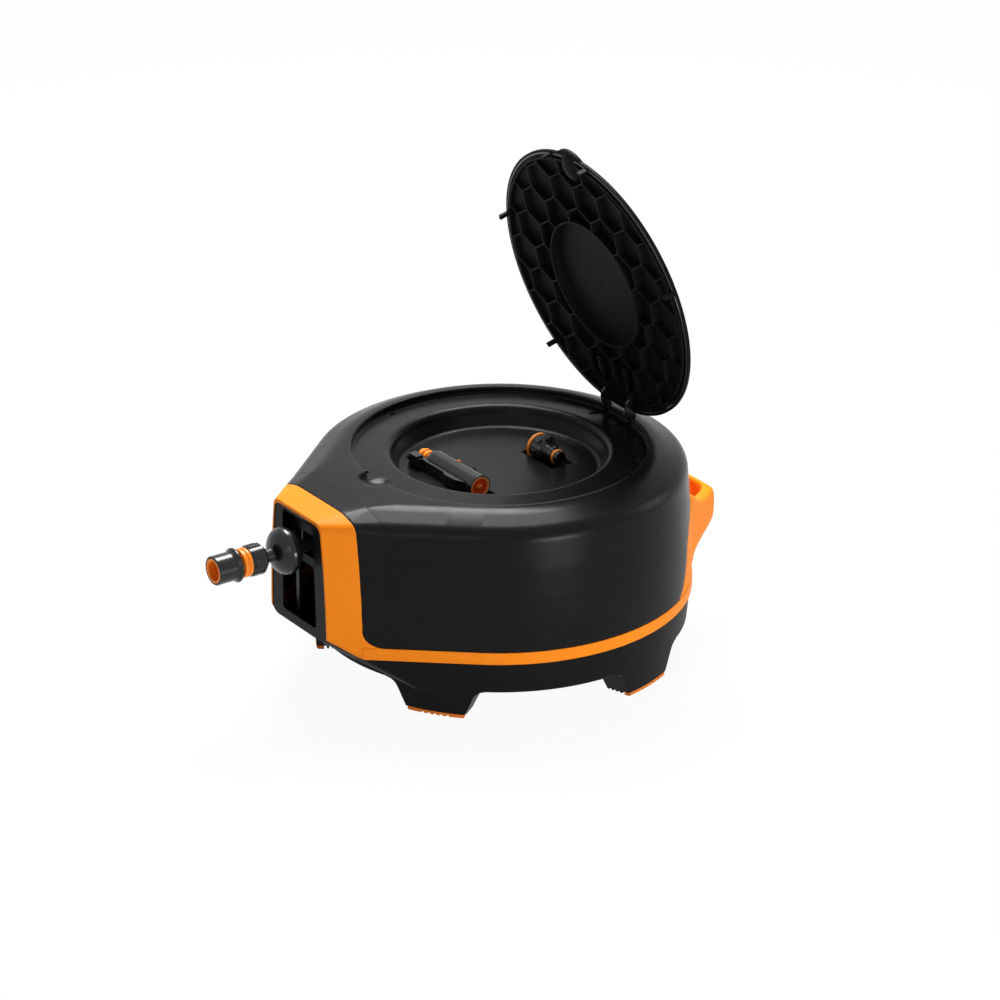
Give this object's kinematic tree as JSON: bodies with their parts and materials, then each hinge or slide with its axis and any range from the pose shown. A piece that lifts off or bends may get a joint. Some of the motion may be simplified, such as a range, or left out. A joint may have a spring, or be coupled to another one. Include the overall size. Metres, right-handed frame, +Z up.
{
  "type": "retractable hose reel",
  "caption": "Floor-standing retractable garden hose reel: round housing with tapered hose outlet, spring drum, level wind, hinged lid over a storage bowl, rear carrying handle.",
  "frame": {"origin": "on the floor under the drum's vertical axis", "axes": "+Z up along the drum's axis; the hose leaves towards -X; the carrying handle and the lid's hinge are at +X; the outer form is symmetric about the XZ plane"},
  "size_m": [0.624, 0.42, 0.5463],
  "materials": {
    "housing": "fine satin black moulding",
    "gloss_black": "semi-gloss black moulding",
    "orange": "smooth orange moulding",
    "orange_pad": "soft orange foot pad",
    "inner_black": "plain black inner moulding",
    "inner_white": "natural acetal",
    "steel": "plain steel",
    "brass": "turned brass",
    "hose": "smooth black hose",
    "seal": "black seal rubber",
    "orange_seal": "orange seal"
  },
  "bodies": {
    "housing": {"top_housing": "housing", "outlet_surround": "orange", "outlet_frame": "gloss_black", "belt_band": "orange", "rear_handle": "orange", "base_housing": "housing", "foot_pads": "orange_pad", "hinge_pins": "steel", "axle": "brass", "spring_arbor": "steel", "swivel_seals": "seal", "inlet_pipe": "brass", "inlet_nipple": "gloss_black", "inlet_seal": "orange_seal", "guide_rods": "steel", "screw_bearing": "inner_white", "pawl_pin": "steel"},
    "lid": {"lid": "housing", "lid_hinge_arms": "gloss_black"},
    "drum": {"lower_bush": "inner_white", "upper_bush": "inner_white", "drum_core": "inner_black", "spring_case": "inner_black", "upper_flange": "inner_black", "ring_gear": "inner_white", "spring_case_cover": "inner_black", "mainspring": "steel", "ratchet_ring": "inner_white", "swivel_cap": "brass", "feed_pipe": "brass", "hose_inner_layers": "hose", "hose_outer_layer": "hose"},
    "screw": {"winding_screw": "steel", "screw_gear": "inner_white"},
    "traveller": {"traveller": "gloss_black", "roller_pins": "steel", "hose_lead": "hose", "stop_ball": "gloss_black", "coupling_nut": "gloss_black", "coupling_body": "orange"},
    "left_roller": {"left_roller": "inner_white"},
    "right_roller": {"right_roller": "inner_white"},
    "sleeve": {"coupling_sleeve": "gloss_black"},
    "pawl": {"pawl": "steel"},
    "nozzle": {"nozzle_body": "gloss_black", "nozzle_face": "orange", "nozzle_neck": "orange"},
    "nozzle_trigger": {"nozzle_trigger": "gloss_black"},
    "tap_connector": {"tap_collar": "gloss_black", "tap_ring": "orange", "tap_nipple": "gloss_black"}
  },
  "joints": [
    {"name": "lid_hinge", "type": "hinge", "parent": "housing", "child": "lid", "pos_m": [0.163, 0, 0.2275], "axis": [0, 1, 0], "range_deg": [-76, 14]},
    {"name": "drum_spin", "type": "hinge", "parent": "housing", "child": "drum", "pos_m": [0, 0, 0], "axis": [0, 0, 1], "range_deg": [0, 1440]},
    {"name": "screw_spin", "type": "hinge", "parent": "housing", "child": "screw", "pos_m": [-0.1947, -0.036, 0.1], "axis": [0, 0, 1], "range_deg": [-6480, 0]},
    {"name": "traveller_slide", "type": "slide", "parent": "housing", "child": "traveller", "axis": [0, 0, -1], "range_m": [0, 0.0616]},
    {"name": "left_roller_spin", "type": "hinge", "parent": "traveller", "child": "left_roller", "pos_m": [-0.238, 0.0143, 0.177], "axis": [0, 0, 1], "continuous": true},
    {"name": "right_roller_spin", "type": "hinge", "parent": "traveller", "child": "right_roller", "pos_m": [-0.238, -0.0143, 0.177], "axis": [0, 0, 1], "continuous": true},
    {"name": "sleeve_pull", "type": "slide", "parent": "traveller", "child": "sleeve", "axis": [1, 0, 0], "range_m": [0, 0.0025], "stiffness_N_per_m": 500, "springref_m": -0.002},
    {"name": "pawl_swing", "type": "hinge", "parent": "housing", "child": "pawl", "pos_m": [0, 0.174, 0.074], "axis": [0, 0, 1], "range_deg": [0, 6], "stiffness_Nm_per_rad": 0.2, "springref_deg": -5.73},
    {"name": "nozzle_lift", "type": "slide", "parent": "housing", "child": "nozzle", "axis": [0, 0, 1], "range_m": [0, 0.06]},
    {"name": "trigger_press", "type": "slide", "parent": "nozzle", "child": "nozzle_trigger", "axis": [1, 0, 0], "range_m": [0, 0.002], "stiffness_N_per_m": 400, "springref_m": -0.002},
    {"name": "tap_connector_lift", "type": "slide", "parent": "housing", "child": "tap_connector", "axis": [0, 0, 1], "range_m": [0, 0.06]}
  ],
  "couplings": [
    {"joint": "screw_spin", "follows": "drum_spin", "ratio": -4.5},
    {"joint": "traveller_slide", "follows": "drum_spin", "m_per_rad": 0.002451}
  ]
}
